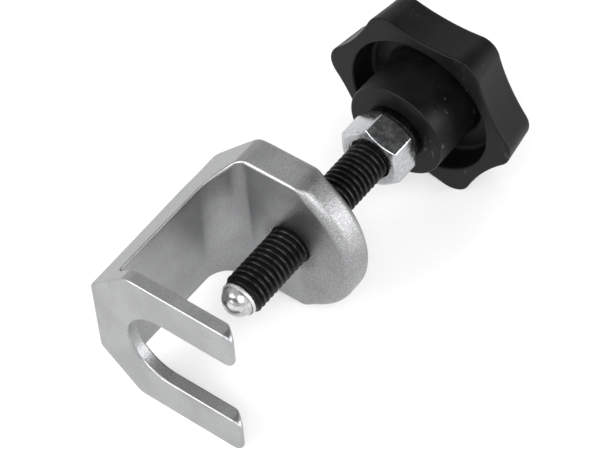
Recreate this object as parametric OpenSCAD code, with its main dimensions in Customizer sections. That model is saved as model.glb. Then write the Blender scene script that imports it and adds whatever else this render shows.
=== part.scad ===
// Ball joint separator: a forged C-frame with a forked jaw, and a hand-turned pressure spindle.
// X runs along the spindle towards the knob, Y towards the frame's spine, Z across the frame's width.
// The origin is on the spindle's axis, in the plane of the fork's outer face. Millimetres.

/* [Frame] */
// Width of the frame across the fork and the lug
frame_width = 40.5; // [38:0.5:44]
// Distance from the spindle's axis to the outer face of the spine
throat_depth = 23.2; // [22:0.2:28]
// Thickness of the spine beside the fork
spine_thickness = 5.8; // [4:0.2:7]
// Extra thickness of the spine beside the lug
spine_swell = 0.8; // [0.1:0.1:1.2]
// Distance from the fork's outer face to the lug's outer face
frame_length = 47.5; // [46:0.5:60]
// Thickness of the lug that carries the spindle
lug_thickness = 8; // [7:0.5:10]
// How far the lug reaches past the spindle's axis, away from the spine
lug_reach = 16.5; // [15:0.5:18]

/* [Fork] */
// Width of the slot between the prongs
slot_width = 20; // [18:0.5:22]
// Thickness of the fork plate
fork_thickness = 3.4; // [3:0.1:6]
// Distance from the spindle's axis to the prong tips
prong_reach = 15.5; // [14:0.5:20]
// Distance from the spindle's axis to the centre of the slot's round end
slot_centre = 3.8; // [2:0.1:5]

/* [Spindle] */
// Outer diameter of the thread
thread_diameter = 10; // [9:0.5:10]
// Distance from the origin to the crown of the thrust ball, which sets how far the spindle is screwed in
ball_crown = 17.3; // [12:0.1:22]
// Diameter of the thrust ball
ball_diameter = 8; // [7:0.5:8]

/* [Nut] */
// Width across the flats of the lock nut
nut_flats = 15; // [15:0.5:17]
// Height of the lock nut
nut_height = 8; // [7:0.5:9]
// Distance from the ball's crown to the nut's front face
nut_station = 51.7; // [48:0.1:53]
// Angle of the nut's first corner, from +Y towards +Z
nut_angle = 23; // [0:1:59]

/* [Knob] */
// Diameter over the lobes
knob_diameter = 50; // [50:1:54]
// Diameter between opposite hollows
knob_waist = 43; // [41:0.5:43.5]
// Radius of each lobe
lobe_radius = 6; // [6:0.5:7]
// Thickness of the grip
grip_thickness = 11.3; // [9:0.1:13]
// How much smaller the grip's radius is at its top
grip_taper = 1.4; // [0:0.1:2]
// Diameter of the hub
hub_diameter = 25; // [24:0.5:27]
// How far the hub stands out below the grip
hub_reach = 9.3; // [7:0.1:11]
// Diameter of the hollow under the grip, at its mouth
hollow_diameter = 37; // [35:0.5:37]
// Depth of the hollow under the grip
hollow_depth = 6.8; // [5:0.1:7]
// Angle of the first lobe, from +Y towards +Z
knob_angle = 4; // [0:1:59]

/* [Insert] */
// Diameter of the threaded insert moulded into the hub
insert_diameter = 13; // [12.5:0.5:15]
// How far the insert's collar stands out of the hub
collar_height = 2.4; // [1:0.1:3]
// Length of the insert inside the hub
insert_depth = 14; // [12:0.5:15]

/* [Hidden] */

// Smoothness of the round surfaces
$fn = 96;

// Radial play between the spindle and the lug's bore
running_play = 0.05;
// Radial play between the spindle and the parts screwed onto it
thread_play = 0.02;
// Radial play of the ball in its socket, and under the lip that holds it in
socket_play = 0.1;
lip_play = 0.03;
// Overlap of tools that cut past a surface
past = 1;
// Length that is more than any cut across the frame
far = 60;

// Frame
half_width = frame_width / 2;
spine_inner = throat_depth - spine_thickness;
lug_inner = frame_length - lug_thickness;
// Where the chamfer along the spine starts on the broad side, and its half-width on the back
chamfer_start = 12.7;
back_half_width = 10.3;
// How much narrower each side of the back is where the spine has swollen
swell_inset = 0.3;
// Sloping corner on the outside, between the spine and the lug
outer_corner_x = 2.2;
outer_corner_y = 9.5;
// Sloping corner on the inside, between the spine and the lug
inner_corner_x = 6;
inner_corner_y = 4.6;
// Small fillet, drawn as a facet, between the fork and the spine
fork_corner = 2;
// Where the lug's flat sides end and its round end begins
lug_flat_end = -3;
// The round end is one arc through both flat ends and the furthest point
lug_arc_run = lug_flat_end + lug_reach;
lug_arc_radius = (half_width * half_width + lug_arc_run * lug_arc_run) / (2 * lug_arc_run);
lug_arc_centre = lug_arc_radius - lug_reach;
// Rounded corners of the prong tips, outer and inner
tip_outer_radius = 2.5;
tip_inner_radius = 2.5;
// Bevel that leads in on the inner side of the prong tips
tip_bevel_run = 3;
tip_bevel_rise = 2.2;
prong_bevel_left = fork_thickness - tip_bevel_rise;

// Spindle stations along X
ball_radius = ball_diameter / 2;
ball_centre = ball_crown + ball_radius;
thread_radius = thread_diameter / 2;
pilot_radius = 4.35;
pilot_end = ball_centre + 0.5;
thread_start = pilot_end + (thread_radius - pilot_radius);
end_chamfer = 0.8;

// Socket for the ball: a drilled hole with a conical bottom, and a lip swaged in past the ball's middle
drill_half_angle = 59;
socket_radius = ball_radius + socket_play;
socket_apex = ball_centre + socket_radius / sin(drill_half_angle);
socket_wall_end = socket_apex - socket_radius / tan(drill_half_angle);
lip_reach = 0.7;
lip_root = 0.2;
lip_x = ball_centre - lip_reach;
lip_radius = sqrt(ball_radius * ball_radius - lip_reach * lip_reach) + lip_play;

// Nut
nut_x = ball_crown + nut_station;
nut_corner_radius = nut_flats / 2 / cos(30);
// Radius of the round face that the corner chamfers leave, and the cones that cut them
nut_face_share = 0.95;
nut_face_radius = nut_face_share * nut_flats / 2;
nut_cone_radius = nut_corner_radius + past;
nut_cone_height = (nut_cone_radius - nut_face_radius) * tan(30);

// Knob and insert stations along X; the spindle ends just short of the insert's far end
end_gap = 0.4;
collar_x = nut_x + nut_height;
hub_x = collar_x + collar_height;
spindle_end = hub_x + insert_depth - end_gap;
grip_x = hub_x + hub_reach;
knob_top = grip_x + grip_thickness;
hub_radius = hub_diameter / 2;
hub_edge = 0.6;
hollow_radius = hollow_diameter / 2;
hollow_draft = 0.7;
insert_radius = insert_diameter / 2;
collar_radius = 7.4;
// Groove around the insert that keeps it in the hub
insert_groove_depth = 0.5;
insert_groove_width = 2;
// The grip's top edge is rounded with two facets, and its top rises to a flat middle
top_edge = 1.2;
edge_mid_run = 0.35;
edge_mid_drop = 0.45;
top_crown = 0.5;
top_flat_radius = 12;
// Straight part of the lobes at the rim, before they taper
rim_height = 0.6;

// Lobed outline: convex lobes and concave hollows, tangent to each other
lobes = 6;
grip_radius = knob_diameter / 2;
waist_radius = knob_waist / 2;
lobe_step = 360 / lobes;
lobe_centre = grip_radius - lobe_radius;
c_half = cos(lobe_step / 2);
hollow_arc_radius = (lobe_centre * lobe_centre + waist_radius * waist_radius
    - 2 * lobe_centre * waist_radius * c_half - lobe_radius * lobe_radius)
    / (2 * (lobe_radius - waist_radius + lobe_centre * c_half));
hollow_arc_centre = waist_radius + hollow_arc_radius;
tangent_share = lobe_radius / (lobe_radius + hollow_arc_radius);

// Turns the Z axis of its children onto X and their X axis onto Y, so that 2D shapes read as (Y, Z)
module along_x(x = 0) {
    translate([x, 0, 0]) rotate([90, 0, 90]) children();
}

// Outline of the frame seen along the spindle: chamfered towards the back
module back_outline() {
    polygon([
        [-far, -half_width],
        [chamfer_start, -half_width],
        [throat_depth, -back_half_width],
        [throat_depth + spine_swell, -back_half_width + swell_inset],
        [throat_depth + spine_swell, back_half_width - swell_inset],
        [throat_depth, back_half_width],
        [chamfer_start, half_width],
        [-far, half_width]
    ]);
}

// Outline of the frame seen from its broad side, with the jaw open towards -Y
module side_outline() {
    polygon([
        [0, -prong_reach],
        [prong_bevel_left, -prong_reach],
        [fork_thickness, -prong_reach + tip_bevel_run],
        [fork_thickness, spine_inner - fork_corner],
        [fork_thickness + fork_corner, spine_inner],
        [lug_inner - inner_corner_x, spine_inner],
        [lug_inner, spine_inner - inner_corner_y],
        [lug_inner, -lug_reach],
        [frame_length, -lug_reach],
        [frame_length, throat_depth - outer_corner_y],
        [frame_length - outer_corner_x, throat_depth + spine_swell],
        [0, throat_depth]
    ]);
}

// One prong: a slab whose two far corners are rounded
module prong_outline() {
    prong_length = prong_reach + slot_centre;
    prong_width = half_width - slot_width / 2;
    difference() {
        translate([-prong_reach, slot_width / 2]) square([prong_length, prong_width]);
        tip_corner(half_width, tip_outer_radius, -1);
        tip_corner(slot_width / 2, tip_inner_radius, 1);
    }
}

// Waste outside a rounded tip corner that touches the line Z = edge, on the side given by way
module tip_corner(edge, radius, way) {
    difference() {
        translate([-prong_reach - past, edge - (way < 0 ? radius : past)]) square(radius + past);
        translate([-prong_reach + radius, edge + way * radius]) circle(radius);
    }
}

// The fork plate: a U-shaped slot with a round end, open towards -Y
module fork_outline() {
    difference() {
        intersection() {
            back_outline();
            translate([slot_centre, -half_width]) square([far, frame_width]);
        }
        translate([slot_centre, 0]) circle(slot_width / 2);
    }
    prong_outline();
    mirror([0, 1]) prong_outline();
}

// The spine: what lies behind the slot's round end
module spine_outline() {
    intersection() {
        back_outline();
        translate([slot_centre + slot_width / 2, -half_width]) square([far, frame_width]);
    }
}

// The lug plate: flat sides and a broad round end
module lug_outline() {
    intersection() {
        back_outline();
        union() {
            translate([lug_flat_end, -half_width]) square([far, frame_width]);
            intersection() {
                translate([lug_arc_centre, 0]) circle(lug_arc_radius);
                translate([-lug_reach, -half_width]) square([lug_arc_run + past, frame_width]);
            }
        }
    }
}

// The spindle as radius and station: ball socket, bright pilot, and the thread's envelope at its crests
module spindle_profile() {
    polygon([
        [0, socket_apex],
        [socket_radius, socket_wall_end],
        [socket_radius, ball_centre - lip_root],
        [lip_radius, lip_x],
        [pilot_radius, lip_x],
        [pilot_radius, pilot_end],
        [thread_radius, thread_start],
        [thread_radius, spindle_end - end_chamfer],
        [thread_radius - end_chamfer, spindle_end],
        [0, spindle_end]
    ]);
}

module jaw_frame() {
    color([0.6, 0.61, 0.62])
    difference() {
        intersection() {
            translate([0, 0, -half_width]) linear_extrude(frame_width) side_outline();
            union() {
                along_x() linear_extrude(fork_thickness + fork_corner) fork_outline();
                along_x() linear_extrude(frame_length) spine_outline();
                along_x(lug_inner - inner_corner_x)
                    linear_extrude(lug_thickness + inner_corner_x) lug_outline();
            }
        }
        along_x(lug_inner - past) cylinder(h = lug_thickness + 2 * past, r = thread_radius + running_play);
    }
}

module thrust_ball() {
    color([0.86, 0.87, 0.88])
    translate([ball_centre, 0, 0]) sphere(r = ball_radius);
}

module spindle() {
    color([0.12, 0.12, 0.13])
    along_x() rotate_extrude() spindle_profile();
}

module lock_nut() {
    color([0.78, 0.8, 0.82])
    along_x(nut_x) difference() {
        intersection() {
            rotate([0, 0, nut_angle]) cylinder(h = nut_height, r = nut_corner_radius, $fn = 6);
            rotate_extrude() polygon([
                [0, 0],
                [nut_face_radius, 0],
                [nut_cone_radius, nut_cone_height],
                [nut_cone_radius, nut_height - nut_cone_height],
                [nut_face_radius, nut_height],
                [0, nut_height]
            ]);
        }
        translate([0, 0, -past]) cylinder(h = nut_height + 2 * past, r = thread_radius + thread_play);
    }
}

// Outer shape of the insert, from its collar to its far end; 0 is the collar's face
module insert_profile() {
    groove_x = collar_height + insert_depth / 2;
    half_groove = insert_groove_width / 2;
    polygon([
        [0, 0],
        [collar_radius, 0],
        [collar_radius, collar_height],
        [insert_radius, collar_height],
        [insert_radius, groove_x - half_groove],
        [insert_radius - insert_groove_depth, groove_x - half_groove],
        [insert_radius - insert_groove_depth, groove_x + half_groove],
        [insert_radius, groove_x + half_groove],
        [insert_radius, collar_height + insert_depth],
        [0, collar_height + insert_depth]
    ]);
}

module knob_insert() {
    color([0.22, 0.22, 0.23])
    along_x(collar_x) difference() {
        rotate_extrude() insert_profile();
        translate([0, 0, -past])
            cylinder(h = collar_height + insert_depth + 2 * past, r = thread_radius + thread_play);
    }
}

// The grip's outline: a wavy star made of tangent arcs
module grip_outline() {
    tangent_y = lobe_centre + (hollow_arc_centre * c_half - lobe_centre) * tangent_share;
    tangent_z = hollow_arc_centre * sin(lobe_step / 2) * tangent_share;
    tangent_radius = norm([tangent_y, tangent_z]);
    tangent_angle = atan2(tangent_z, tangent_y);
    difference() {
        polygon([
            for (i = [0 : lobes - 1], side = [-1, 1])
                let (a = i * lobe_step + side * tangent_angle)
                tangent_radius * [cos(a), sin(a)]
        ]);
        for (i = [0 : lobes - 1]) rotate((i + 0.5) * lobe_step)
            translate([hollow_arc_centre, 0]) circle(hollow_arc_radius);
    }
    for (i = [0 : lobes - 1]) rotate(i * lobe_step) translate([lobe_centre, 0]) circle(lobe_radius);
}

// Everything that the lobes' taper, the top edge and the crown leave standing; 0 is the hub's face
module knob_envelope() {
    height = knob_top - hub_x;
    edge_start = height - top_edge - top_crown;
    edge_radius = grip_radius - grip_taper;
    polygon([
        [0, 0],
        [grip_radius + past, 0],
        [grip_radius + past, hub_reach + rim_height],
        [grip_radius, hub_reach + rim_height],
        [edge_radius, edge_start],
        [edge_radius - edge_mid_run, height - edge_mid_drop - top_crown],
        [edge_radius - top_edge, height - top_crown],
        [top_flat_radius, height],
        [0, height]
    ]);
}

// The hub as radius and height; it ends inside the grip
module hub_profile() {
    polygon([
        [0, 0],
        [hub_radius - hub_edge, 0],
        [hub_radius, hub_edge],
        [hub_radius, hub_reach + hollow_depth + past],
        [0, hub_reach + hollow_depth + past]
    ]);
}

// The ring-shaped hollow between the hub and the grip's rim, narrower towards its floor
module hollow_profile() {
    polygon([
        [hub_radius, hub_reach - past],
        [hollow_radius, hub_reach - past],
        [hollow_radius, hub_reach],
        [hollow_radius - hollow_draft, hub_reach + hollow_depth],
        [hub_radius, hub_reach + hollow_depth]
    ]);
}

module star_knob() {
    height = knob_top - hub_x;
    color([0.09, 0.09, 0.1])
    along_x(hub_x) difference() {
        union() {
            intersection() {
                translate([0, 0, hub_reach]) rotate([0, 0, knob_angle])
                    linear_extrude(grip_thickness) grip_outline();
                rotate_extrude() knob_envelope();
            }
            rotate_extrude() hub_profile();
        }
        rotate_extrude() hollow_profile();
        translate([0, 0, -collar_height]) rotate_extrude() insert_profile();
    }
}

jaw_frame();
thrust_ball();
spindle();
lock_nut();
knob_insert();
star_knob();
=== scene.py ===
"""Ball joint separator: the looks of each piece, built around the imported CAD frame.

Lengths are in millimetres. Those of the lights, the camera and the floor's extent are in metres.
"""

import math

import bmesh
import bpy
import numpy as np
from mathutils import Matrix, Vector


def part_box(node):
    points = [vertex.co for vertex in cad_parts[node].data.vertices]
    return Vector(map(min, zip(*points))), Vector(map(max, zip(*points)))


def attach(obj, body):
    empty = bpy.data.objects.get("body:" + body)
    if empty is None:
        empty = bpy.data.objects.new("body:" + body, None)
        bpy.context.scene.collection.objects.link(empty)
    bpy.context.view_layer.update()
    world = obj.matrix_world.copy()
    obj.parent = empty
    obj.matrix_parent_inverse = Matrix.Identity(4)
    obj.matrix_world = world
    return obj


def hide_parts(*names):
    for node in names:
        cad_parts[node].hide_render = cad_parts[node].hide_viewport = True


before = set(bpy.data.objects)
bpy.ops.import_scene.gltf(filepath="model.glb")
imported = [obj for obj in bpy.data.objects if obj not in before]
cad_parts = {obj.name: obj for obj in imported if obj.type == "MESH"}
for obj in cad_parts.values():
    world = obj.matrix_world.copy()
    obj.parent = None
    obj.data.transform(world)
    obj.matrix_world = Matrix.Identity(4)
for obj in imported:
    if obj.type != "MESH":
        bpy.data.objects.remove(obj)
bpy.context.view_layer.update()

MM = 0.001


def box_mm(node):
    """Lowest and highest corner of a CAD node, in millimetres."""
    low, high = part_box(node)
    return np.array(low) / MM, np.array(high) / MM


# -----------------------------------------------------------------------------
# Meshes
# -----------------------------------------------------------------------------


def new_object(name, vertices, faces, normals=None):
    """A smooth mesh object from vertices in millimetres."""
    mesh = bpy.data.meshes.new(name)
    mesh.from_pydata((np.asarray(vertices) * MM).tolist(), [], [list(f) for f in faces])
    mesh.validate()
    mesh.polygons.foreach_set("use_smooth", [True] * len(mesh.polygons))
    if normals is not None and len(normals) == len(mesh.vertices):
        mesh.normals_split_custom_set_from_vertices(np.asarray(normals).tolist())
    mesh.update()
    piece = bpy.data.objects.new(name, mesh)
    bpy.context.scene.collection.objects.link(piece)
    return piece


def round_max(a, b, radius):
    """Where two solids, given as distances, overlap; the edge between them is rounded."""
    inner = np.minimum(np.maximum(a, b), -radius)
    return inner + np.hypot(np.maximum(a + radius, 0), np.maximum(b + radius, 0))


def beyond(u, v, start, end):
    """Distance of (u, v) from the line through start and end, positive on its left."""
    run, rise = end[0] - start[0], end[1] - start[1]
    return (run * (v - start[1]) - rise * (u - start[0])) / math.hypot(run, rise)


def smooth_step(value, low, high):
    """0 below low, 1 above high and a smooth rise between them."""
    t = np.clip((value - low) / (high - low), 0, 1)
    return t * t * (3 - 2 * t)


def slope(solid, points, reach):
    """Distance and its gradient at each point."""
    distance = solid(*points.T)
    gradient = np.empty_like(points)
    for axis in range(3):
        shift = np.zeros(3)
        shift[axis] = reach
        gradient[:, axis] = (solid(*(points + shift).T) - solid(*(points - shift).T)) / (2 * reach)
    return distance, gradient


def surface_net(name, solid, low, high, cell):
    """Meshes the surface where solid(x, y, z) is zero, with one vertex in each cell it crosses."""
    margin = 2 * cell
    axes = [np.arange(a - margin, b + margin + cell, cell) for a, b in zip(low, high)]
    origin = np.array([axis[0] for axis in axes])
    distance = solid(axes[0][:, None, None], axes[1][None, :, None], axes[2][None, None, :])
    distance = np.broadcast_to(distance, [len(axis) for axis in axes])
    inside = distance < 0
    size = np.array(distance.shape)
    place = np.array([size[1] * size[2], size[2], 1])
    total = np.zeros((int(size.prod()), 3))
    count = np.zeros(int(size.prod()))
    quads = []
    # Each grid edge that crosses the surface gives a quad between the four cells around it
    for axis in range(3):
        near = [slice(None)] * 3
        far = [slice(None)] * 3
        near[axis] = slice(None, -1)
        far[axis] = slice(1, None)
        near, far = tuple(near), tuple(far)
        at = np.argwhere(inside[near] != inside[far])
        step = np.eye(3, dtype=int)
        d_near = distance[tuple(at.T)]
        d_far = distance[tuple((at + step[axis]).T)]
        crossing = at + step[axis] * (d_near / (d_near - d_far))[:, None]
        b, c = step[(axis + 1) % 3], step[(axis + 2) % 3]
        around = np.stack([(at - offset) @ place for offset in (b + c, c, 0 * c, b)], axis=1)
        leaving = inside[near][tuple(at.T)]
        quads.append(np.where(leaving[:, None], around, around[:, ::-1]))
        for column in around.T:
            count += np.bincount(column, minlength=len(count))
            for k in range(3):
                total[:, k] += np.bincount(column, weights=crossing[:, k], minlength=len(count))
    # A cell's vertex is the mean of its crossings, then moved onto the surface along the gradient
    used = np.flatnonzero(count)
    points = origin + total[used] / count[used, None] * cell
    passes, least_slope, tiny = 4, 0.2, 1e-9
    for _ in range(passes):
        distance, gradient = slope(solid, points, cell * 0.1)
        steepness = np.maximum((gradient**2).sum(1), least_slope)
        shift = (distance / steepness)[:, None] * gradient
        length = np.linalg.norm(shift, axis=1, keepdims=True)
        points = points - shift * np.minimum(1, cell / np.maximum(length, tiny))
    normals = slope(solid, points, cell * 0.25)[1]
    normals /= np.maximum(np.linalg.norm(normals, axis=1, keepdims=True), tiny)
    number = np.zeros(len(count), dtype=int)
    number[used] = np.arange(len(used))
    return new_object(name, points, number[np.concatenate(quads)], normals)


def ring_mesh(name, rings, wrap=False):
    """Joins rings of points, each (n, 3), into a tube.

    With wrap the last ring meets the first; otherwise both ends are closed.
    """
    rings = np.asarray(rings)
    m, n = rings.shape[:2]
    faces = []
    for i in range(m if wrap else m - 1):
        here, there = i * n, (i + 1) % m * n
        faces += [(here + j, here + (j + 1) % n, there + (j + 1) % n, there + j) for j in range(n)]
    vertices = rings.reshape(-1, 3)
    if not wrap:
        vertices = np.vstack([vertices, rings[0].mean(0), rings[-1].mean(0)])
        first, last = m * n, m * n + 1
        faces += [(first, (j + 1) % n, j) for j in range(n)]
        faces += [(last, (m - 1) * n + j, (m - 1) * n + (j + 1) % n) for j in range(n)]
    piece = new_object(name, vertices, faces)
    face_outwards(piece)
    return piece


def face_outwards(piece):
    """Joins doubled vertices and turns every face's normal outwards."""
    bm = bmesh.new()
    bm.from_mesh(piece.data)
    bmesh.ops.remove_doubles(bm, verts=bm.verts, dist=1e-7)
    bmesh.ops.recalc_face_normals(bm, faces=bm.faces)
    bm.to_mesh(piece.data)
    bm.free()


def turned(profile, sides):
    """Rings of a shape turned about the X axis from (station, radius) pairs."""
    angles = np.arange(sides) * 2 * math.pi / sides
    rings = []
    for station, radius in profile:
        across, up = radius * np.cos(angles), radius * np.sin(angles)
        rings.append(np.stack([station + 0 * angles, across, up], axis=1))
    return rings


def soften(profile, radius, steps=3):
    """Rounds each inner corner of an open (station, radius) profile, by at most the given radius."""
    points = [np.array(p, float) for p in profile]
    result = [points[0]]
    largest_share = 1 / 2.2
    for before, corner, after in zip(points, points[1:], points[2:]):
        run_in, run_out = np.linalg.norm(before - corner), np.linalg.norm(after - corner)
        reach = min(radius, run_in * largest_share, run_out * largest_share)
        start = corner + (before - corner) / run_in * reach
        end = corner + (after - corner) / run_out * reach
        for i in range(steps + 1):
            t = i / steps
            result.append((1 - t) ** 2 * start + 2 * t * (1 - t) * corner + t * t * end)
    return result + [points[-1]]


# -----------------------------------------------------------------------------
# Materials
# -----------------------------------------------------------------------------


class Shader:
    """A Principled material, and short calls for the nodes that drive it from the piece's coordinates."""

    def __init__(self, name, **values):
        self.material = bpy.data.materials.new(name)
        self.material.use_nodes = True
        self.tree = self.material.node_tree
        self.base = self.tree.nodes["Principled BSDF"]
        self.coordinates = self.tree.nodes.new("ShaderNodeTexCoord").outputs["Object"]
        split = self.tree.nodes.new("ShaderNodeSeparateXYZ")
        self.tree.links.new(self.coordinates, split.inputs[0])
        self.x, self.y, self.z = split.outputs
        for socket, value in values.items():
            self.base.inputs[socket.replace("_", " ")].default_value = value

    def link(self, socket, value):
        """Joins another node's output to the socket, or sets a plain value on it."""
        if isinstance(value, bpy.types.NodeSocket):
            self.tree.links.new(value, socket)
        else:
            socket.default_value = value

    def math(self, operation, a, b=0.0, clamp=False):
        node = self.tree.nodes.new("ShaderNodeMath")
        node.operation, node.use_clamp = operation, clamp
        self.link(node.inputs[0], a)
        self.link(node.inputs[1], b)
        return node.outputs[0]

    def plus(self, a, b):
        return self.math("ADD", a, b)

    def times(self, a, b):
        return self.math("MULTIPLY", a, b)

    def noise(self, size, detail=2.0, rough=0.5, stretch=(1, 1, 1)):
        """Noise with features about size millimetres across, longer along an axis with more stretch."""
        mapping = self.tree.nodes.new("ShaderNodeMapping")
        mapping.inputs["Scale"].default_value = [1 / (size * MM * s) for s in stretch]
        self.tree.links.new(self.coordinates, mapping.inputs["Vector"])
        node = self.tree.nodes.new("ShaderNodeTexNoise")
        node.inputs["Scale"].default_value = 1.0
        node.inputs["Detail"].default_value = detail
        node.inputs["Roughness"].default_value = rough
        self.tree.links.new(mapping.outputs[0], node.inputs["Vector"])
        return node.outputs["Fac"]

    def ramp(self, value, low, high, start=0.0, end=1.0):
        """Maps value from low..high onto start..end, smoothly."""
        node = self.tree.nodes.new("ShaderNodeMapRange")
        node.interpolation_type = "SMOOTHSTEP"
        self.link(node.inputs["Value"], value)
        for socket, number in zip(node.inputs[1:5], (low, high, start, end)):
            socket.default_value = number
        return node.outputs["Result"]

    def blend(self, share, first, second):
        """The first colour where share is 0, the second where it is 1."""
        node = self.tree.nodes.new("ShaderNodeMix")
        node.data_type = "RGBA"
        self.link(node.inputs["Factor"], share)
        for socket, colour in ((node.inputs[6], first), (node.inputs[7], second)):
            self.link(socket, colour if isinstance(colour, bpy.types.NodeSocket) else (*colour, 1))
        return node.outputs[2]

    def radius(self):
        """Distance from the spindle's axis, in metres."""
        squares = self.plus(self.math("POWER", self.y, 2.0), self.math("POWER", self.z, 2.0))
        return self.math("SQRT", squares)

    def paint(self, colour, roughness=None, bumps=()):
        """Links the colour, the roughness and the bumps, given as (height, depth in mm, strength)."""
        self.link(self.base.inputs["Base Color"], colour)
        if roughness is not None:
            self.link(self.base.inputs["Roughness"], roughness)
        normal = None
        for height, depth, strength in bumps:
            bump = self.tree.nodes.new("ShaderNodeBump")
            bump.inputs["Distance"].default_value = depth * MM
            bump.inputs["Strength"].default_value = strength
            self.link(bump.inputs["Height"], height)
            if normal:
                self.tree.links.new(normal, bump.inputs["Normal"])
            normal = bump.outputs["Normal"]
        if normal:
            self.tree.links.new(normal, self.base.inputs["Normal"])
        return self.material


def frame_steel():
    """Forged, blasted and satin plated steel: fine grain, coarser on the round end and in the slot's end."""
    s = Shader("frame_steel", Metallic=1.0)
    # Where the blasting is coarser: the lug's round end and the end of the fork's slot
    on_lug = s.ramp(s.x, (lug_inner - 2) * MM, lug_inner * MM)
    round_end = s.times(on_lug, s.ramp(s.y, -1.0 * MM, -4.0 * MM))
    behind_face = s.ramp(s.x, 0.3 * MM, 0.6 * MM)
    before_back = s.ramp(s.x, (fork_thickness + 0.8) * MM, (fork_thickness - 0.2) * MM)
    in_fork = s.times(behind_face, before_back)
    around_slot = s.ramp(s.radius(), (slot_radius + 5) * MM, (slot_radius + 2.5) * MM)
    slot_end = s.times(s.times(around_slot, in_fork), s.ramp(s.y, 3.0 * MM, 5.0 * MM))
    coarse = s.math("ADD", round_end, slot_end, clamp=True)
    grain = s.noise(0.28, detail=3.0, rough=0.6)
    grit = s.noise(0.34, detail=2.0, rough=0.6)
    swell = s.noise(5.0, detail=2.0)
    cloud = s.noise(9.0, detail=3.0)
    pits = s.ramp(s.noise(0.7, detail=1.0), 0.78, 0.81)
    speckle = s.times(s.ramp(grit, 0.42, 0.6), s.plus(s.times(coarse, 0.3), 0.12))
    # Painted shade on the lug's inner face around its bore, where the spindle enters it, broken up by the
    # grit
    near_bore = s.ramp(s.radius(), (bore_radius + 3.45) * MM, (bore_radius + 0.15) * MM)
    on_inner_face = s.ramp(s.x, (lug_inner - 1) * MM, lug_inner * MM)
    painted_bore_shade = s.times(near_bore, s.times(on_inner_face, s.ramp(grit, 0.3, 0.55)))
    # The plating, then each mark over it
    colour = s.blend(s.ramp(cloud, 0.35, 0.65), (0.33, 0.333, 0.337), (0.40, 0.403, 0.407))
    colour = s.blend(s.times(s.ramp(grain, 0.4, 0.62), 0.4), colour, (0.2, 0.202, 0.205))
    colour = s.blend(s.times(pits, 0.75), colour, (0.08, 0.08, 0.08))
    colour = s.blend(speckle, colour, (0.12, 0.122, 0.125))
    # Darkens the plating with the painted shade around the bore
    colour = s.blend(s.times(painted_bore_shade, 0.6), colour, (0.06, 0.06, 0.06))
    roughness = s.plus(s.ramp(cloud, 0.3, 0.7, 0.34, 0.42), s.times(coarse, 0.04))
    grit_height = s.times(grit, s.plus(s.times(coarse, 0.9), 0.12))
    bumps = [(swell, 0.08, 0.7), (grit_height, 0.09, 0.85), (grain, 0.03, 0.9)]
    return s.paint(colour, roughness, bumps)


def black_oxide():
    """Black thread with grey crests, painted lighter as wear and as a painted highlight, and the bright
    turned rim around the ball.
    """
    s = Shader("black_oxide_steel", Metallic=1.0)
    # The crests are painted lighter: partly wear, partly a painted highlight
    crest = s.ramp(s.radius(), (thread_radius - 0.3) * MM, (thread_radius - 0.04) * MM)
    crest_wear_and_highlight = s.times(crest, s.ramp(s.noise(1.2, detail=3.0), 0.38, 0.66, 0.12, 1.0))
    ragged_x = s.plus(s.x, s.times(s.noise(1.2), 0.5 * MM))
    rim = s.ramp(ragged_x, (rim_end - 0.35) * MM, (rim_end - 0.1) * MM, 1.0, 0.0)
    colour = s.blend(crest_wear_and_highlight, (0.015, 0.0145, 0.0145), (0.062, 0.06, 0.06))
    colour = s.blend(rim, colour, (0.58, 0.58, 0.585))
    roughness = s.ramp(s.noise(0.8, detail=3.0), 0.3, 0.7, 0.4, 0.58)
    return s.paint(colour, roughness, [(s.noise(0.2, detail=2.0), 0.01, 0.5)])


def ball_steel():
    """Polished bearing steel with faint turning marks round the crown."""
    s = Shader("ball_steel", Metallic=1.0)
    marks = s.noise(0.12, detail=1.0, stretch=(1, 8, 8))
    colour = s.blend(s.ramp(s.noise(1.5), 0.3, 0.7), (0.40, 0.40, 0.405), (0.56, 0.56, 0.565))
    roughness = s.ramp(s.noise(0.7, detail=3.0), 0.3, 0.7, 0.16, 0.28)
    return s.paint(colour, roughness, [(marks, 0.003, 0.4)])


def zinc():
    """Bright zinc plate over slightly uneven, faintly brushed flats."""
    s = Shader("zinc_plated_steel", Metallic=1.0)
    mottle = s.noise(1.3, detail=3.0, rough=0.55)
    streaks = s.noise(0.25, detail=2.0, stretch=(7, 1, 1))
    colour = s.blend(s.ramp(mottle, 0.35, 0.65), (0.41, 0.42, 0.43), (0.52, 0.53, 0.54))
    roughness = s.ramp(mottle, 0.3, 0.7, 0.16, 0.3)
    return s.paint(colour, roughness, [(mottle, 0.004, 0.3), (streaks, 0.0006, 0.2)])


def insert_steel():
    """Dark oiled steel with fine turning rings."""
    s = Shader("insert_steel", Metallic=1.0)
    rings = s.noise(0.15, detail=1.0, stretch=(1, 30, 30))
    patches = s.ramp(s.noise(1.5, detail=3.0), 0.35, 0.65)
    colour = s.blend(patches, (0.008, 0.008, 0.008), (0.02, 0.02, 0.021))
    return s.paint(colour, s.ramp(rings, 0.3, 0.7, 0.35, 0.5), [(rings, 0.01, 0.5)])


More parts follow.
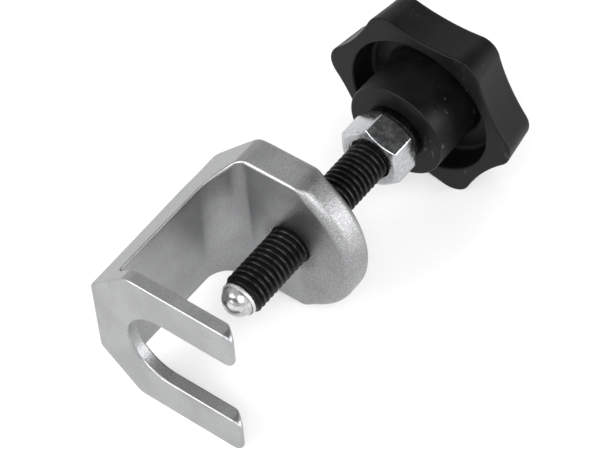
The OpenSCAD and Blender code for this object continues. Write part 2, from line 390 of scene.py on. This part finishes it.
def knob_plastic():
    """Satin black moulded plastic with a fine spark-eroded grain and a few scuffs."""
    s = Shader("knob_plastic", Metallic=0.0, Specular_IOR_Level=0.15)
    texture = s.noise(0.22, detail=2.0)
    cloud = s.noise(7.0, detail=3.0)
    scratches = s.ramp(s.noise(1.1, detail=4.0, rough=0.7, stretch=(1, 1, 3)), 0.62, 0.70)
    scuffed = s.times(scratches, s.ramp(s.noise(9.0), 0.5, 0.64))
    colour = s.blend(s.ramp(cloud, 0.35, 0.65), (0.003, 0.003, 0.0032), (0.0055, 0.0055, 0.0057))
    colour = s.blend(s.times(scuffed, 0.6), colour, (0.16, 0.16, 0.165))
    roughness = s.plus(s.ramp(cloud, 0.3, 0.7, 0.38, 0.48), s.times(scuffed, 0.2))
    return s.paint(colour, roughness, [(texture, 0.015, 0.5)])


# -----------------------------------------------------------------------------
# Stations and sizes, from the frame where it shows them
# -----------------------------------------------------------------------------

jaw_low, jaw_high = box_mm("jaw_frame")
ball_low, ball_high = box_mm("thrust_ball")
spindle_high = box_mm("spindle")[1]
nut_low, nut_high = box_mm("lock_nut")
insert_low, insert_high = box_mm("knob_insert")
knob_low, knob_high = box_mm("star_knob")

# Further than any surface
far = 1000

# Frame: along the spindle (X), towards the spine (Y), and half its width (Z)
frame_length = jaw_high[0]
half_width = jaw_high[2]
lug_reach = -jaw_low[1]
prong_reach = 15.5
spine_swell, swell_inset = 0.8, 0.3
throat = jaw_high[1] - spine_swell
spine_thickness = 5.8
spine_inner = throat - spine_thickness
fork_thickness, lug_thickness = 3.4, 8
lug_inner = frame_length - lug_thickness
chamfer_start, back_half_width = 12.7, 10.3
outer_corner = (2.2, 9.5)
inner_corner = (6, 4.6)
slot_radius, slot_centre = 10, 3.8
lug_flat_end = -3
bevel_run, bevel_rise = 3, 2.2
bore_radius = 5.05

# The forging's rounded edges
back_edge, outer_corner_edge, lug_face_edge = 0.9, 1.5, 1.2
fork_fillet, lug_fillet = 1.6, 1.8
bevel_edge, chamfer_edge, crease_edge, bore_edge = 0.4, 1.0, 0.8, 0.25
prong_tip_edge = 2.5
sharp_edge, lug_edge, round_end_edge = 0.5, 0.9, 2.4

# Spindle
thread_radius = spindle_high[1]
pitch, thread_depth = 1.5, 0.9
ball_radius = (ball_high[0] - ball_low[0]) / 2
ball_x = ball_low[0] + ball_radius
pilot_radius = 4.35
rim_end = ball_x + 0.5

# Nut
nut_flats = 15
nut_angle = math.radians(23)

# Knob and its insert
hub_radius = 12.5
hollow_mouth, hollow_floor = 18.5, 17.8
hub_reach, hollow_depth = 9.3, 6.8
knob_angle = math.radians(4)
lobe_radius, lobe_reach = 6, 25
waist = 21.5
grip_taper = 1.4
crown, crown_start, crown_end = 0.5, 8, 24
insert_radius, collar_radius = 6.5, 7.4
insert_depth = insert_high[0] - knob_low[0]


# -----------------------------------------------------------------------------
# Pieces
# -----------------------------------------------------------------------------


def jaw_solid(x, y, z):
    """The forging: where its side outline and its outline along the spindle overlap, edges rounded."""
    z = np.abs(z)
    # Side outline: the outside, then the jaw's opening taken out of it
    lug_corner = (frame_length - outer_corner[0], throat + spine_swell)
    lug_corner_end = (frame_length, throat - outer_corner[1])
    outside = round_max(-x, beyond(x, y, (0, throat), lug_corner), back_edge)
    outside = round_max(outside, beyond(x, y, lug_corner, lug_corner_end), outer_corner_edge)
    outside = round_max(outside, x - frame_length, lug_face_edge)
    opening = round_max(fork_thickness - x, y - spine_inner, fork_fillet)
    corner_line = (lug_inner - inner_corner[0], spine_inner), (lug_inner, spine_inner - inner_corner[1])
    opening = round_max(opening, beyond(x, y, *corner_line), lug_fillet)
    opening = round_max(opening, x - lug_inner, lug_fillet)
    bevel_start = (fork_thickness, -prong_reach + bevel_run)
    bevel = beyond(x, y, bevel_start, (fork_thickness - bevel_rise, -prong_reach))
    bevel = np.where(x < 2 * fork_thickness, bevel, -far)
    side = round_max(np.maximum(outside, -opening), bevel, bevel_edge)
    # Outline along the spindle: chamfered spine, then the fork's slot or the lug's round end
    chamfer = beyond(y, z, (chamfer_start, half_width), (throat, back_half_width))
    swollen = (throat + spine_swell, back_half_width - swell_inset)
    chamfer = np.minimum(chamfer, beyond(y, z, (throat, back_half_width), swollen))
    broad = round_max(z - half_width, chamfer, chamfer_edge)
    slot = slot_radius - np.where(y < slot_centre, z + 0 * y, np.hypot(y - slot_centre, z))
    fork = round_max(round_max(broad, -prong_reach - y, prong_tip_edge), slot, prong_tip_edge)
    arc_run = lug_flat_end + lug_reach
    arc = (half_width**2 + arc_run**2) / (2 * arc_run)
    round_end = np.where(y < arc - lug_reach, np.hypot(y - (arc - lug_reach), z), z + 0 * y) - arc
    lug = round_max(broad, round_end, crease_edge)
    outline = np.where(x < frame_length / 2, fork, lug)
    # Edges are sharp on the spine and fork, softer on the lug and softest on its round end
    on_lug = smooth_step(x, lug_inner - 8, lug_inner - 1)
    softer = lug_edge + (round_end_edge - lug_edge) * smooth_step(-y, 2, 6)
    edge = sharp_edge + (softer - sharp_edge) * on_lug
    solid = round_max(side, outline, edge)
    bore = np.where(x > frame_length / 2, bore_radius - np.hypot(y, z), -far)
    return round_max(solid, bore, bore_edge)


def thread_profile():
    """One pitch of the thread as (share of the pitch, radius), crest first."""
    crest = thread_radius - 0.02
    crest_share, root_share, ease = 0.07, 0.40, 0.06
    root = thread_radius - thread_depth
    shares = (-0.09, -0.05, 0.0, 0.05, 0.09, 0.18, 0.27, 0.36, 0.43, 0.5, 0.57, 0.64, 0.73, 0.82)
    profile = []
    for share in shares:
        flank = (min(abs(share), 1 - abs(share)) - crest_share) / (root_share - crest_share)
        fall = float(smooth_step(flank, -ease, 1 + ease))
        profile.append((share, crest - (crest - root) * fall))
    return profile


def spindle_piece():
    """Helical thread, cut square at both ends, with the ball's cup turned on its front."""
    sides, start, end = 72, rim_end, spindle_high[0]
    fade = 1.0
    profile = thread_profile()
    # A few pitches more at each end, which the cuts take off again
    pitches = range(-2, int((end - start) / pitch) + 5)
    rings = [((k + share) * pitch + start, radius) for k in pitches for share, radius in profile]
    stations, radii = np.array(rings).T[:, :, None]
    angles = np.arange(sides) * 2 * math.pi / sides
    x = stations + angles[None, :] / (2 * math.pi) * pitch
    depth = smooth_step(x, start, start + fade) * smooth_step(-x, -end, -end + fade)
    r = pilot_radius + (radii - pilot_radius) * depth
    vertices = np.stack([x, r * np.cos(angles), r * np.sin(angles)], axis=2).reshape(-1, 3)
    # The last column joins the first one a whole pitch further on
    lead = len(profile)
    faces = []
    for i in range(len(rings) - 1):
        for a in range(i * sides, (i + 1) * sides - 1):
            faces.append((a, a + 1, a + sides + 1, a + sides))
        if i + 1 - lead >= 0:
            a = (i - lead) * sides + sides - 1
            faces.append((a, i * sides, (i + 1) * sides, a + sides))
    piece = new_object("spindle_threaded", vertices, faces)
    bm = bmesh.new()
    bm.from_mesh(piece.data)
    for station, way in ((start, -1), (end, 1)):
        everything = bm.verts[:] + bm.edges[:] + bm.faces[:]
        plane = {"plane_co": (station * MM, 0, 0), "plane_no": (way, 0, 0)}
        bmesh.ops.bisect_plane(bm, geom=everything, dist=1e-8, clear_outer=True, **plane)
    lip, socket_radius = ball_x - 0.69, 4.1
    cup = [
        (ball_x - 0.45, pilot_radius),
        (ball_x - 0.62, pilot_radius - 0.08),
        (lip, 4.12),
        (lip, 4.02),
        (ball_x - 0.6, 3.99),
        (ball_x - 0.2, socket_radius),
        (ball_x + 2.3, socket_radius),
        (ball_x + 4.6, 0.2),
    ]
    close_end(bm, start, cup)
    close_end(bm, end, [(end, 0.5)])
    bmesh.ops.recalc_face_normals(bm, faces=bm.faces)
    for face in bm.faces:
        face.smooth = True
    bm.to_mesh(piece.data)
    bm.free()
    return piece


def close_end(bm, station, profile):
    """Carries the open rim at a station on through (station, radius) pairs and closes the last."""
    def at_station(edge):
        return all(abs(v.co.x - station * MM) < 1e-6 for v in edge.verts)

    rim = [e for e in bm.edges if e.is_boundary and at_station(e)]
    for x, radius in profile:
        made = bmesh.ops.extrude_edge_only(bm, edges=rim)["geom"]
        rim = [g for g in made if isinstance(g, bmesh.types.BMEdge)]
        for v in {v for e in rim for v in e.verts}:
            scale = radius * MM / math.hypot(v.co.y, v.co.z)
            v.co = (x * MM, v.co.y * scale, v.co.z * scale)
    bmesh.ops.contextual_create(bm, geom=rim)


def ball_piece():
    """The thrust ball, with a small, slightly dished polished flat on its crown."""
    steps = 40
    flat_radius, flat_drop, flat_dish = 0.9, 0.02, 0.03
    profile = []
    for i in range(1, steps):
        angle = math.pi * i / steps
        x, r = ball_x - ball_radius * math.cos(angle), ball_radius * math.sin(angle)
        if r < flat_radius:
            x = max(x, ball_low[0] + flat_drop + flat_dish * (r / flat_radius) ** 2)
        profile.append((x, r))
    return ring_mesh("thrust_ball_polished", turned(profile, 80))


def nut_edge(angle):
    """Distance from the axis to the side of the hexagon, its corners slightly rounded."""
    inscribed, corner = nut_flats / 2, 0.35
    off_flat = (angle - nut_angle) % (math.pi / 3) - math.pi / 6
    off_corner = math.pi / 6 - np.abs(off_flat)
    centre = (inscribed - corner) / math.cos(math.pi / 6)
    turn = math.atan((inscribed - corner) * math.tan(math.pi / 6) / inscribed)
    half_chord = np.sqrt(np.maximum(corner**2 - (centre * np.sin(off_corner)) ** 2, 0))
    on_arc = centre * np.cos(off_corner) + half_chord
    return np.where(np.abs(off_flat) > turn, on_arc, inscribed / np.cos(off_flat))


def nut_piece():
    """Hex nut with chamfered corners: the chamfer's cone meets each flat in a curve."""
    height = nut_high[0] - nut_low[0]
    bore, mouth, face = thread_radius + 0.1, thread_radius + 0.65, 7.0
    chamfer_slope, edge = math.tan(math.radians(30)), 0.22
    sides = 192
    columns = []
    for j in range(sides):
        angle = nut_angle + 2 * math.pi * j / sides
        side = float(nut_edge(angle))
        drop = (side - face) * chamfer_slope
        inside = [(height / 2, bore), (mouth - bore, bore), (0, mouth)]
        outside = [(0, face), (drop, side), (height / 2, side)]
        lower = soften(inside + outside, edge)
        upper = [np.array([height - x, r]) for x, r in reversed(lower)]
        column = lower + upper[1:-1]
        cosine, sine = math.cos(angle), math.sin(angle)
        columns.append([(nut_low[0] + x, r * cosine, r * sine) for x, r in column])
    rings = np.array(columns).transpose(1, 0, 2)
    return ring_mesh("lock_nut_zinc", rings, wrap=True)


def insert_piece():
    """Headed insert: a plain collar, then a knurled body with a groove that keeps it in the hub."""
    front, end, collar_end = insert_low[0], insert_high[0], knob_low[0]
    groove = (collar_end + end) / 2
    bore = thread_radius + 0.1
    groove_radius = insert_radius - 0.5
    collar = [
        (front + 6, bore),
        (front + 0.5, bore),
        (front, bore + 0.5),
        (front, 7.0),
        (front + 0.35, collar_radius),
        (collar_end - 0.02, collar_radius),
        (collar_end - 0.02, insert_radius),
    ]
    body = [
        (groove - 1, insert_radius),
        (groove - 1, groove_radius),
        (groove + 1, groove_radius),
        (groove + 1, insert_radius),
        (end - 0.4, insert_radius),
        (end, insert_radius - 0.4),
        (end, bore + 0.3),
        (end - 0.3, bore),
    ]
    rings = turned(soften(collar + body, 0.12, steps=2), 240)
    teeth, tooth_depth = 40, 0.14
    for ring in rings:
        station = ring[0, 0]
        on_body = collar_end + 0.3 < station < end - 0.2 and abs(station - groove) > 0.8
        if on_body and np.hypot(ring[0, 1], ring[0, 2]) > insert_radius - 0.1:
            angles = np.arctan2(ring[:, 2], ring[:, 1])
            tooth = np.abs((angles * teeth / math.pi) % 2 - 1) - 1
            ring[:, 1:] *= (1 + tooth_depth * tooth / insert_radius)[:, None]
    return ring_mesh("knob_insert_turned", rings, wrap=True)


def grip_outline(y, z):
    """Distance from the grip's outline: round lobes and wider hollows, each tangent to the next."""
    step = math.pi / 3
    angle = np.arctan2(z, y) - knob_angle
    fold = np.abs((angle + step / 2) % step - step / 2)
    radius = np.hypot(y, z)
    u, v = radius * np.cos(fold), radius * np.sin(fold)
    centre = lobe_reach - lobe_radius
    cosine = math.cos(step / 2)
    arc = (centre**2 + waist**2 - 2 * centre * waist * cosine - lobe_radius**2) / (
        2 * (lobe_radius - waist + centre * cosine)
    )
    far_u, far_v = (waist + arc) * cosine, (waist + arc) * math.sin(step / 2)
    on_lobe = beyond(u, v, (centre, 0), (far_u, far_v)) < 0
    lobe = np.hypot(u - centre, v) - lobe_radius
    hollow = arc - np.hypot(u - far_u, v - far_v)
    return np.where(on_lobe, lobe, hollow)


def knob_solid(x, y, z):
    """Lobed grip with a crowned top, a ring-shaped hollow below it, and the tall hub."""
    height = x - knob_low[0]
    radius = np.hypot(y, z)
    top = knob_high[0] - knob_low[0]
    top_edge, hollow_edge, rim_edge, hub_edge, blend = 1.0, 1.0, 0.4, 0.5, 0.8
    inwards = grip_taper * (height - hub_reach) / (top - hub_reach)
    crowned = height - top + crown * smooth_step(radius, crown_start, crown_end)
    grip = round_max(grip_outline(y, z) + inwards, crowned, top_edge)
    grip = round_max(grip, hub_reach - height + 0 * y, rim_edge)
    taper = (hollow_mouth - hollow_floor) / hollow_depth
    hollow_side = radius - hollow_mouth + taper * (height - hub_reach)
    hollow = round_max(hollow_side, height - hub_reach - hollow_depth, hollow_edge)
    grip = round_max(grip, -hollow, rim_edge)
    hub = round_max(radius - hub_radius, -height + 0 * y, hub_edge)
    hub = np.maximum(hub, height - hub_reach - hollow_depth - 1)
    solid = -round_max(-grip, -hub, blend)
    insert_hole = np.maximum(radius - insert_radius - 0.02, height - insert_depth)
    return np.maximum(solid, -insert_hole)


def place(piece, body, node, slot, material):
    """Gives a piece its material and its body, and hides the CAD node that it stands for. The slot is not
    used.
    """
    piece.data.materials.clear()
    piece.data.materials.append(material)
    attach(piece, body)
    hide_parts(node)
    return piece


mesh_cell = 0.36
jaw = surface_net("jaw_frame_forged", jaw_solid, jaw_low, jaw_high, mesh_cell)
knob = surface_net("star_knob_moulded", knob_solid, knob_low, knob_high, mesh_cell)
place(jaw, "frame", "jaw_frame", "frame_steel", frame_steel())
place(ball_piece(), "thrust", "thrust_ball", "ball_steel", ball_steel())
place(spindle_piece(), "screw", "spindle", "black_oxide_steel", black_oxide())
place(nut_piece(), "screw", "lock_nut", "zinc_plated_steel", zinc())
place(insert_piece(), "screw", "knob_insert", "insert_steel", insert_steel())
place(knob, "screw", "star_knob", "knob_plastic", knob_plastic())


# -----------------------------------------------------------------------------
# Floor, light and camera
# -----------------------------------------------------------------------------


def floor():
    """A pale, faintly self-lit floor under the fork's lower side and the knob's lowest lobe."""
    contact_x = knob_low[0] + hub_reach
    tilt = math.atan((knob_low[2] - jaw_low[2]) / contact_x)
    gap = 0.02
    half = 3.0
    mesh = bpy.data.meshes.new("floor")
    corners = [(-half, -half, 0), (half, -half, 0), (half, half, 0), (-half, half, 0)]
    mesh.from_pydata(corners, [], [(0, 1, 2, 3)])
    piece = bpy.data.objects.new("floor", mesh)
    bpy.context.scene.collection.objects.link(piece)
    piece.location = (0, 0, (jaw_low[2] - gap) * MM)
    piece.rotation_euler = (0, -tilt, 0)
    s = Shader("floor_white", Roughness=0.85, Specular_IOR_Level=0.2, Emission_Strength=0.32)
    s.base.inputs["Emission Color"].default_value = (1, 1, 1, 1)
    grain = s.noise(2.0, detail=3.0)
    colour = s.blend(grain, (0.66, 0.66, 0.66), (0.68, 0.68, 0.68))
    piece.data.materials.append(s.paint(colour, bumps=[(grain, 0.02, 0.1)]))


def surroundings():
    """A light tent, brightest at mid height and greyer overhead, with a dark flag for the nut to reflect."""
    flag_direction = (0.488, -0.276, 0.827)
    flag_edge, flag_core, flag_level = 0.80, 0.95, 0.12
    world = bpy.data.worlds.new("studio")
    world.use_nodes = True
    bpy.context.scene.world = world
    tree = world.node_tree
    background = tree.nodes["Background"]
    direction = tree.nodes.new("ShaderNodeTexCoord").outputs["Generated"]
    # Level by height: the first stop is at the horizon and the last one overhead
    split = tree.nodes.new("ShaderNodeSeparateXYZ")
    tree.links.new(direction, split.inputs[0])
    ramp = tree.nodes.new("ShaderNodeValToRGB")
    tree.links.new(split.outputs["Z"], ramp.inputs["Fac"])
    stops = ramp.color_ramp.elements
    stops[0].color = (0.86, 0.86, 0.86, 1)
    stops[1].color = (0.62, 0.62, 0.63, 1)
    for height, level in ((0.3, 0.88), (0.62, 1.0)):
        stops.new(height).color = (level, level, level, 1)
    # The flag: darker the closer a direction is to the flag's own
    closeness = tree.nodes.new("ShaderNodeVectorMath")
    closeness.operation = "DOT_PRODUCT"
    tree.links.new(direction, closeness.inputs[0])
    closeness.inputs[1].default_value = flag_direction
    shade = tree.nodes.new("ShaderNodeMapRange")
    shade.interpolation_type = "SMOOTHSTEP"
    tree.links.new(closeness.outputs["Value"], shade.inputs["Value"])
    for socket, number in zip(shade.inputs[1:5], (flag_edge, flag_core, 1.0, flag_level)):
        socket.default_value = number
    flagged = tree.nodes.new("ShaderNodeVectorMath")
    flagged.operation = "SCALE"
    tree.links.new(ramp.outputs["Color"], flagged.inputs[0])
    tree.links.new(shade.outputs["Result"], flagged.inputs["Scale"])
    tree.links.new(flagged.outputs["Vector"], background.inputs["Color"])
    background.inputs["Strength"].default_value = 1.0


def soft_light(name, towards, distance, size, power):
    """An area lamp in a direction from the object's middle, facing it."""
    middle = np.array([0.045, 0, 0])
    lamp = bpy.data.lights.new(name, "AREA")
    lamp.shape = "RECTANGLE"
    lamp.size, lamp.size_y = size
    lamp.energy = power
    lamp_object = bpy.data.objects.new(name, lamp)
    bpy.context.scene.collection.objects.link(lamp_object)
    direction = np.array(towards, float) / np.linalg.norm(towards)
    lamp_object.location = middle + direction * distance
    lamp_object.rotation_euler = Vector(-direction).to_track_quat("-Z", "Y").to_euler()


def camera():
    """Above the fork end, looking along the spindle and slightly rolled, as the photograph was taken."""
    azimuth, elevation, roll = math.radians(-50.37), math.radians(50.70), math.radians(3.98)
    distance, aim = 0.5498, Vector((0.04515, 0.00147, 0))
    data = bpy.data.cameras.new("camera")
    data.sensor_width = 36.0
    data.lens = 149.5
    data.clip_start, data.clip_end = 0.01, 20.0
    eye = bpy.data.objects.new("camera", data)
    bpy.context.scene.collection.objects.link(eye)
    level_run = math.cos(elevation)
    towards_eye = (math.sin(azimuth) * level_run, -math.cos(azimuth) * level_run, math.sin(elevation))
    direction = Vector(towards_eye)
    eye.location = aim + direction * distance
    level = direction.to_track_quat("Z", "Y").to_matrix()
    eye.rotation_euler = (level @ Matrix.Rotation(-roll, 3, "Z")).to_euler()
    bpy.context.scene.camera = eye


floor()
surroundings()
soft_light("key", towards=(-0.77, 0.40, 0.55), distance=0.8, size=(0.5, 0.45), power=4.8)
soft_light("front", towards=(-0.45, -0.55, 0.75), distance=0.9, size=(0.5, 0.5), power=4.6)
soft_light("side", towards=(0.42, -0.85, 0.25), distance=0.8, size=(0.35, 0.3), power=2.6)
camera()
bpy.context.scene.view_settings.view_transform = "Standard"
